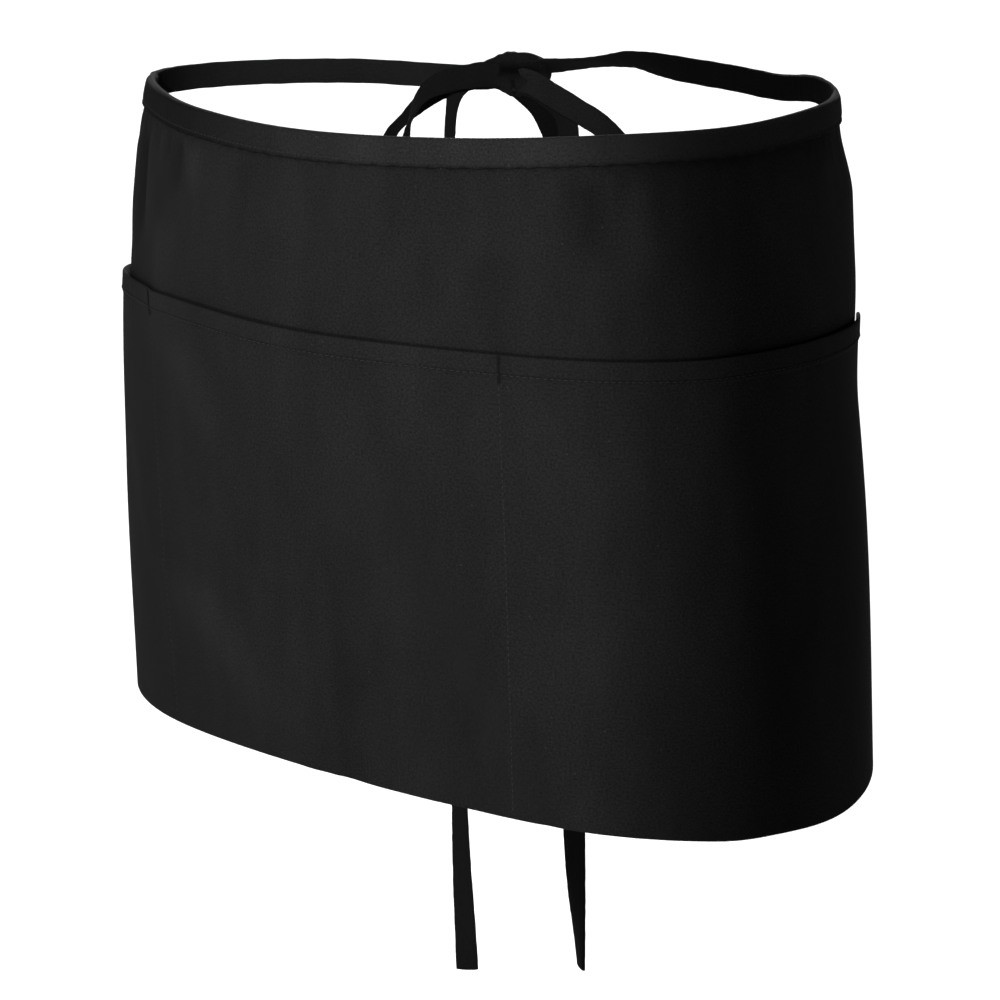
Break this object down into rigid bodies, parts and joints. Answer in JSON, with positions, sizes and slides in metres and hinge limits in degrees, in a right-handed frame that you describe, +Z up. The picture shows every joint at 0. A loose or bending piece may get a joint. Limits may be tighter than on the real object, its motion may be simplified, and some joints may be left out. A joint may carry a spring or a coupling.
{
  "type": "waist apron",
  "caption": "Short waist apron in its worn form: a skirt with a full-width divided pocket panel, a narrow folded waistband, and ties knotted in a bow at the back.",
  "frame": {"origin": "middle of the waist opening, level with the waistband's top edge", "axes": "+Z up the wearer's body, -Y the wearer's front, +X the wearer's left"},
  "size_m": [0.3869, 0.2969, 0.5127],
  "materials": {
    "skirt_twill": "matte black cotton blend twill",
    "pocket_twill": "matte black cotton blend twill",
    "band_twill": "matte black folded twill strip",
    "tie_twill": "matte black folded twill tape"
  },
  "bodies": {
    "root": {"apron_panel": "skirt_twill", "pocket_panel": "pocket_twill", "waistband": "band_twill", "tie_left": "tie_twill", "tie_right": "tie_twill", "bow_knot": "tie_twill", "bow_loop_left": "tie_twill", "bow_loop_right": "tie_twill", "tie_end_left": "tie_twill", "tie_end_right": "tie_twill"}
  },
  "joints": []
}
